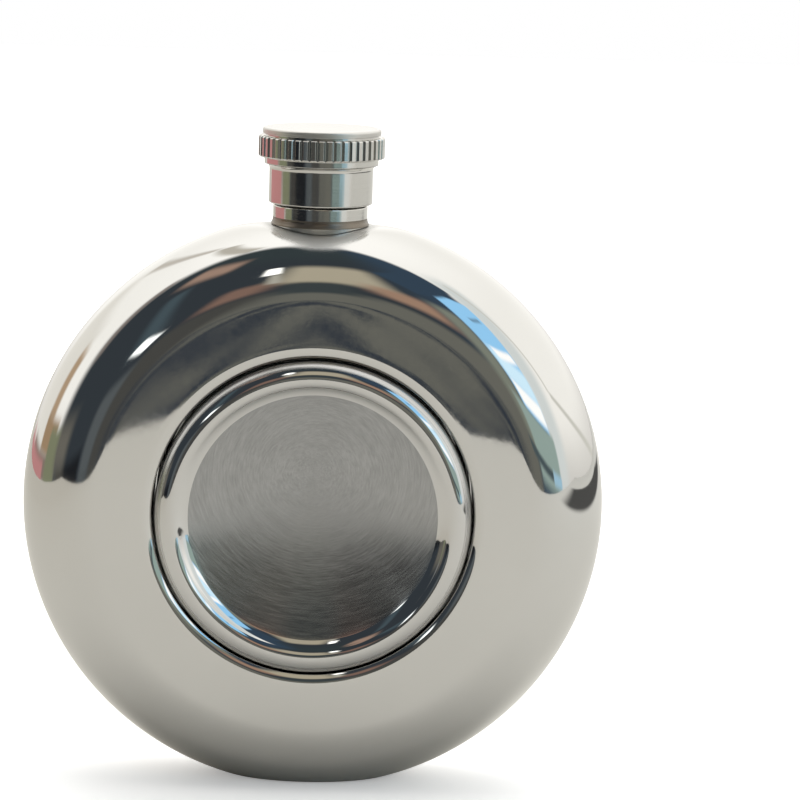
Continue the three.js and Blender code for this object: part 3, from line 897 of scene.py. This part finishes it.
ROOM_PATCHES = (
    ((-75, 38), 2.5, 14, 3, 0, (0.3, 0.26, 0.24, 1)),  # soft left edge of the dim part
    ((-84, -2), 10, 8, 2, 0, (0.29, 0.31, 0.2, 1)),  # olive things low on the left
    ((-52, -8), 17, 5, 2, 0, (0.018, 0.02, 0.024, 1)),  # darkest place, low on the left
    ((-67, 1.5), 9, 6, 5, 0, (0.2, 0.19, 0.165, 1)),  # softer end of the dim part
    ((-25, -2), 7, 7, 3, 0, (0.13, 0.147, 0.157, 1)),  # low grey things
    ((-11, -2), 9, 12, 3, 0, (0.09, 0.09, 0.085, 1)),
    ((10, -3), 14, 11, 3, 0, (0.2, 0.2, 0.175, 1)),
    ((26, 12), 4.5, 16, 3, 0, (0.3, 0.325, 0.27, 1)),
    ((39, -1), 14, 6, 1.5, 0, (0.43, 0.56, 0.52, 1)),  # sill
    ((31, -4.3), 11, 0.9, 0.7, 0, (0.1, 0.135, 0.15, 1)),
    ((48, -4.5), 6, 1.2, 0.9, 0, (0.5, 0.79, 1.0, 1)),
    ((-46, 53.5), 11.5, 5.5, 4, 8, (0.5, 0.34, 0.265, 1)),  # brown smear
    ((3, 32), 10.5, 12, 4, 0, (0.6, 0.54, 0.41, 1)),  # pale middle
    ((14, 19.5), 6.5, 5.5, 3.5, 0, (0.5, 0.32, 0.23, 1)),
    ((-11, 18), 4.5, 6, 3, 0, (0.31, 0.195, 0.155, 1)),
    ((0, 12), 4, 7.5, 2.5, 0, (0.065, 0.08, 0.085, 1)),
    ((-37, 28), 3.5, 17, 3, 33.7, (0.088, 0.126, 0.15, 1)),  # blue-grey streak
    ((40.5, 23), 9.5, 18, 1.0, 0, (0.45, 0.92, 1.4, 1)),  # window
    ((32, 45), 15, 7, 1.2, 27, DIM_RIGHT),  # slanted blind over its top
    ((41, 15), 9.5, 4, 2, 0, (0.98, 1.34, 1.58, 1)),
    ((42, 20.5), 7.5, 1.5, 1.0, 15, (1.6, 1.6, 1.6, 1)),
    ((41, 8.5), 9, 2.6, 1.2, 0, (1.58, 1.6, 1.6, 1)),
    ((43, 32.5), 4.5, 0.7, 0.8, 20, (0.25, 0.45, 0.65, 1)),
    ((-11.5, 39.5), 2.0, 4.5, 1.2, 12, (2.8, 2.8, 2.7, 1)),  # lamps
    ((-8, 28), 1.2, 6, 1.2, 12, (0.6, 0.58, 0.5, 1)),
    ((-27, 13.5), 4.5, 2.0, 1.2, -25, (2.4, 2.5, 2.5, 1)),
)


def room():
    """White paper behind and above, and a dim room in front with a window and two lamps."""
    world = bpy.data.worlds.new("room")
    bpy.context.scene.world = world
    world.use_nodes = True
    nodes = Nodes(world.node_tree)
    x, y, z = nodes.parts(nodes.add("ShaderNodeTexCoord").outputs["Generated"])
    to_degrees = 180 / math.pi
    ahead = nodes.math("MULTIPLY", y, -1.0)
    azimuth = nodes.math("MULTIPLY", nodes.math("ARCTAN2", x, ahead), to_degrees)
    elevation = nodes.math("MULTIPLY", nodes.math("ARCSINE", z), to_degrees)
    aside = nodes.math("ABSOLUTE", azimuth)

    def within(distance, half, soft):
        """1 inside a band, 0 outside it, with soft edges."""
        return nodes.remap(nodes.math("ABSOLUTE", distance), half - soft, half + soft, 1, 0, True)

    def patched(colour, patches):
        for (middle, rise), half_wide, half_high, soft, tilt, paint in patches:
            right = nodes.math("SUBTRACT", azimuth, middle)
            up = nodes.math("SUBTRACT", elevation, rise)
            cosine, sine = math.cos(math.radians(tilt)), math.sin(math.radians(tilt))
            across = nodes.math("ADD", nodes.math("MULTIPLY", right, cosine),
                                nodes.math("MULTIPLY", up, sine))
            along = nodes.math("SUBTRACT", nodes.math("MULTIPLY", up, cosine),
                               nodes.math("MULTIPLY", right, sine))
            inside = nodes.math("MULTIPLY", within(across, half_wide, soft),
                                within(along, half_high, soft))
            colour = nodes.mix(inside, colour, paint)
        return colour

    # The dim part is a rounded rectangle, with a softer edge on the left.
    from_middle = nodes.math("SUBTRACT", azimuth, DIM_CENTRE)
    away = nodes.math("POWER", nodes.math("DIVIDE", from_middle, DIM_HALF_WIDTH), DIM_SQUARENESS)
    over = nodes.math("POWER", nodes.math("DIVIDE", elevation, DIM_REACH), DIM_SQUARENESS)
    full = nodes.remap(azimuth, -85.0, -45.0, 0.6, 0.85)
    none = nodes.remap(azimuth, -85.0, -45.0, 1.45, 1.2)
    dim = nodes.remap(nodes.math("ADD", away, over), full, none, 1, 0, True)
    dark = nodes.mix(nodes.remap(elevation, 44.0, 66.0, 0, 1, True), DIM_LEFT, DIM_HIGH)
    dark = nodes.mix(nodes.remap(azimuth, 8.0, 34.0, 0, 1, True), dark, DIM_RIGHT)
    paper = nodes.mix(nodes.remap(elevation, -6.0, 14.0, 0, 1, True), PAPER_LOW, PAPER)
    paper = nodes.mix(nodes.remap(elevation, 35.0, 80.0, 0, 1, True), paper, PAPER_HIGH)
    colour = nodes.mix(dim, patched(paper, PAPER_PATCHES), dark)
    colour = patched(colour, ROOM_PATCHES)
    # Dark folds straight ahead, just above the table's edge
    fall = nodes.math("MULTIPLY_ADD", aside, 0.8, elevation)
    along_folds = nodes.vector(nodes.math("MULTIPLY", fall, 2.2),
                               nodes.math("MULTIPLY", azimuth, 0.3), 7.0)
    folds = nodes.noise(along_folds, scale=1.0, detail=3.0)
    near = nodes.math("MULTIPLY", nodes.remap(aside, 5.0, 16.0, 1, 0, True),
                      nodes.remap(elevation, -7.5, -5.5, 1, 0, True))
    folded = nodes.math("MULTIPLY", nodes.remap(folds, 0.46, 0.56, 1, 0, True), near)
    colour = nodes.mix(folded, colour, FOLD_DARK)
    seen = nodes.add("ShaderNodeLightPath").outputs["Is Camera Ray"]
    glow = nodes.add("ShaderNodeBackground")
    nodes.join(nodes.mix(seen, colour, WHITE), glow.inputs["Color"])
    out = nodes.add("ShaderNodeOutputWorld")
    nodes.join(glow.outputs[0], out.inputs[0])


LIGHT_PLACE = (0.1, 0.35, 1.3)
LIGHT_SIZE = (1.2, 0.8)
LIGHT_ENERGY = 5.0


def overhead_light():
    """A large soft light that gives the shadow on the table and isn't mirrored."""
    data = bpy.data.lights.new("overhead", "AREA")
    data.shape = "RECTANGLE"
    data.size, data.size_y = LIGHT_SIZE
    data.energy = LIGHT_ENERGY
    lamp = bpy.data.objects.new("overhead", data)
    lamp.location = LIGHT_PLACE
    lamp.rotation_mode = "QUATERNION"
    lamp.rotation_quaternion = (Vector((0, 0, 0)) - lamp.location).to_track_quat("-Z", "Y")
    lamp.visible_glossy = False
    bpy.context.scene.collection.objects.link(lamp)


# Camera: where it stands, and where the middle of the body falls in an 800-pixel picture

CAMERA_PLACE = Vector((0.0, -0.5968, 0.1759))
CAMERA_LENS = 143.9
SENSOR_WIDTH = 36
CAMERA_ROLL = 1.36  # degrees
PICTURE = 800
BODY_MIDDLE_AT = (313.3, 502.9)


def camera():
    """The camera looks past the body, so that the body's middle falls at its place in the picture."""
    data = bpy.data.cameras.new("camera")
    data.lens = CAMERA_LENS
    data.sensor_width = SENSOR_WIDTH
    data.clip_start = 0.01
    data.clip_end = 50
    eye = bpy.data.objects.new("camera", data)
    bpy.context.scene.collection.objects.link(eye)
    focal = CAMERA_LENS / SENSOR_WIDTH * PICTURE
    across = (BODY_MIDDLE_AT[0] - PICTURE / 2) / focal
    up = (PICTURE / 2 - BODY_MIDDLE_AT[1]) / focal
    aim = Vector((across, up, -1)).normalized()
    to_body = Vector((0, 0, CENTRE_Z * MM)) - CAMERA_PLACE
    look = to_body.to_track_quat("-Z", "Y")
    roll = Quaternion((0, 0, 1), math.radians(CAMERA_ROLL))
    eye.location = CAMERA_PLACE
    eye.rotation_mode = "QUATERNION"
    eye.rotation_quaternion = look @ roll @ aim.rotation_difference(Vector((0, 0, -1)))
    bpy.context.scene.camera = eye


def build():
    body = polished_steel("body_steel", (0.64, 0.635, 0.615), 0.035, soft_at_neck=0.42)
    bright = polished_steel("cup_steel", (0.63, 0.625, 0.61), 0.04, 0.4)
    turned = turned_steel("turned_steel", (0.63, 0.62, 0.59), 0.09)
    # Darker brown steel for the cove at the neck's foot.
    dark_cove = turned_steel("dark_cove_steel", (0.2, 0.175, 0.145), 0.34)
    turned_satin = turned_steel("turned_satin", (0.63, 0.62, 0.59), 0.36)
    drawn = drawn_steel("drawn_steel", (0.5, 0.5, 0.49), 0.3)
    disc = brushed_disc("brushed_steel", (0.4, 0.405, 0.405))
    satin = drawn_steel("satin_steel", (0.56, 0.555, 0.54), 0.27)
    seal = silicone("seal_silicone", (0.8, 0.79, 0.74))
    body_shell("front_shell", -1, body)
    body_shell("rear_shell", 1, body)
    well_tube(drawn)
    stop_ring(drawn)
    neck(turned, dark_cove)
    cap(turned, turned_satin)
    cap_seal(seal)
    cup_foot(bright, disc, satin)
    cup_ring("cup_rim_ring", "cup_rim", bright, lip=True)
    cup_ring("cup_upper_ring", "cup_upper", bright)
    cup_ring("cup_lower_ring", "cup_lower", bright)
    cup_ring("cup_floor_ring", "cup_base", bright, floor=True)


build()
floor()
room()
overhead_light()
camera()

bpy.context.scene.view_settings.view_transform = "Standard"
